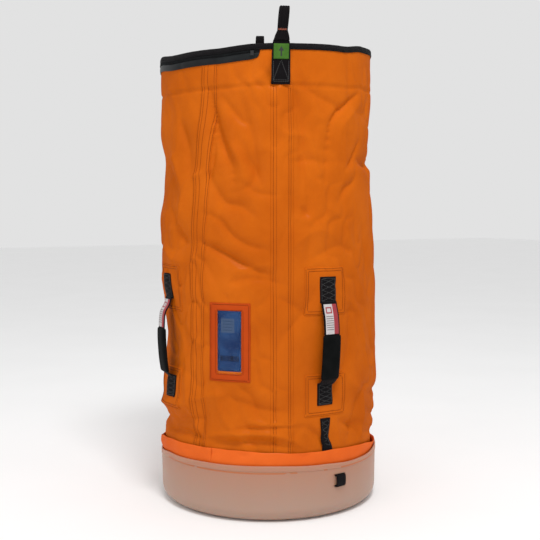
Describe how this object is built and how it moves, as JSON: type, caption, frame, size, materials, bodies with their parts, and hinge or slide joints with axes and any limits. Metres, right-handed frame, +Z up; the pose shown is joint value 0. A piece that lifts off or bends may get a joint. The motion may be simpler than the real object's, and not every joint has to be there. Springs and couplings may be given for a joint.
{
  "type": "open-mouthed hoisting bag",
  "caption": "Tall cylindrical hoisting bag of orange coated fabric in a rigid plastic base tray, with webbing lifting loops, padded side handles and a card window.",
  "frame": {"origin": "centre of the base tray's flat underside, on the surface the bag stands on", "axes": "+Z up along the bag's axis; -Y towards the front carrying handle; +X to the right seen from the front"},
  "size_m": [0.467, 0.4654, 0.938],
  "materials": {
    "tray_plastic": "translucent moulded polyethylene, satin",
    "orange_fabric": "orange polymer-coated woven fabric, soft satin",
    "floor_board": "satin sheet plastic",
    "skirt_fabric": "brighter orange coated fabric, glossier than the wall",
    "black_webbing": "black woven webbing, matt",
    "zip_tape": "black coil zip on woven tape",
    "zip_metal": "black enamelled zip metal, worn at the edges",
    "green_label": "green woven label",
    "clear_window": "clear flexible PVC",
    "blue_card": "printed card",
    "grip_rubber": "black foam rubber sleeve, matt",
    "handle_tag": "white and red printed tape"
  },
  "bodies": {
    "root": {"base_tray": "tray_plastic", "bag_floor": "orange_fabric", "wall_panel_front": "orange_fabric", "wall_panel_back": "orange_fabric", "seam_tape_left": "orange_fabric", "seam_tape_right": "orange_fabric", "hem_facing": "orange_fabric", "sling_cover_front": "orange_fabric", "sling_cover_back": "orange_fabric", "id_pocket_frame": "orange_fabric", "floor_stiffener": "floor_board", "base_skirt": "skirt_fabric", "rim_binding": "black_webbing", "lifting_sling": "black_webbing", "base_strap_1": "black_webbing", "base_strap_2": "black_webbing", "base_strap_3": "black_webbing", "zip_tape_outer": "zip_tape", "zip_tape_inner": "zip_tape", "zip_end_stop": "zip_metal", "loop_label_front": "green_label", "loop_label_back": "green_label", "id_pocket_window": "clear_window", "handle_front_patch_upper": "orange_fabric", "handle_front_patch_lower": "orange_fabric", "handle_front_tab_upper": "black_webbing", "handle_front_tab_lower": "black_webbing", "handle_left_patch_upper": "orange_fabric", "handle_left_patch_lower": "orange_fabric", "handle_left_tab_upper": "black_webbing", "handle_left_tab_lower": "black_webbing", "handle_back_patch_upper": "orange_fabric", "handle_back_patch_lower": "orange_fabric", "handle_back_tab_upper": "black_webbing", "handle_back_tab_lower": "black_webbing", "handle_right_patch_upper": "orange_fabric", "handle_right_patch_lower": "orange_fabric", "handle_right_tab_upper": "black_webbing", "handle_right_tab_lower": "black_webbing"},
    "loop_front": {"loop_eye_front": "black_webbing"},
    "loop_back": {"loop_eye_back": "black_webbing"},
    "handle_front": {"handle_front_strap": "black_webbing", "handle_front_grip": "grip_rubber", "handle_front_tag": "handle_tag"},
    "handle_left": {"handle_left_strap": "black_webbing", "handle_left_grip": "grip_rubber", "handle_left_tag": "handle_tag"},
    "handle_back": {"handle_back_strap": "black_webbing", "handle_back_grip": "grip_rubber", "handle_back_tag": "handle_tag"},
    "handle_right": {"handle_right_strap": "black_webbing", "handle_right_grip": "grip_rubber", "handle_right_tag": "handle_tag"},
    "zip_slider": {"zip_slider": "zip_metal"},
    "zip_pull": {"zip_pull": "zip_metal"},
    "id_card": {"id_card": "blue_card"}
  },
  "joints": [
    {"name": "loop_front_fold", "type": "hinge", "parent": "root", "child": "loop_front", "pos_m": [-0.08829, -0.19373, 0.878], "axis": [0.91, -0.4147, 0], "range_deg": [-80, 100]},
    {"name": "loop_back_fold", "type": "hinge", "parent": "root", "child": "loop_back", "pos_m": [0.08829, 0.19373, 0.878], "axis": [-0.91, 0.4147, 0], "range_deg": [-80, 100]},
    {"name": "handle_front_swing", "type": "hinge", "parent": "root", "child": "handle_front", "pos_m": [0, -0.2125, 0.3205], "axis": [0, 0, 1], "range_deg": [-20, 20]},
    {"name": "handle_left_swing", "type": "hinge", "parent": "root", "child": "handle_left", "pos_m": [-0.21169, 0.01852, 0.3205], "axis": [0, 0, 1], "range_deg": [-20, 20]},
    {"name": "handle_back_swing", "type": "hinge", "parent": "root", "child": "handle_back", "pos_m": [0, 0.2125, 0.3205], "axis": [0, 0, 1], "range_deg": [-20, 20]},
    {"name": "handle_right_swing", "type": "hinge", "parent": "root", "child": "handle_right", "pos_m": [0.21169, -0.01852, 0.3205], "axis": [0, 0, 1], "range_deg": [-20, 20]},
    {"name": "zip_run", "type": "hinge", "parent": "root", "child": "zip_slider", "pos_m": [0, 0, 0.853], "axis": [0, 0, 1], "range_deg": [0, 143.5]},
    {"name": "zip_pull_swing", "type": "hinge", "parent": "zip_slider", "child": "zip_pull", "pos_m": [0.02289, 0.2178, 0.853], "axis": [0.9945, -0.1045, 0], "range_deg": [0, 160]},
    {"name": "card_slide", "type": "slide", "parent": "root", "child": "id_card", "axis": [0, 0, 1], "range_m": [0, 0.13]}
  ]
}
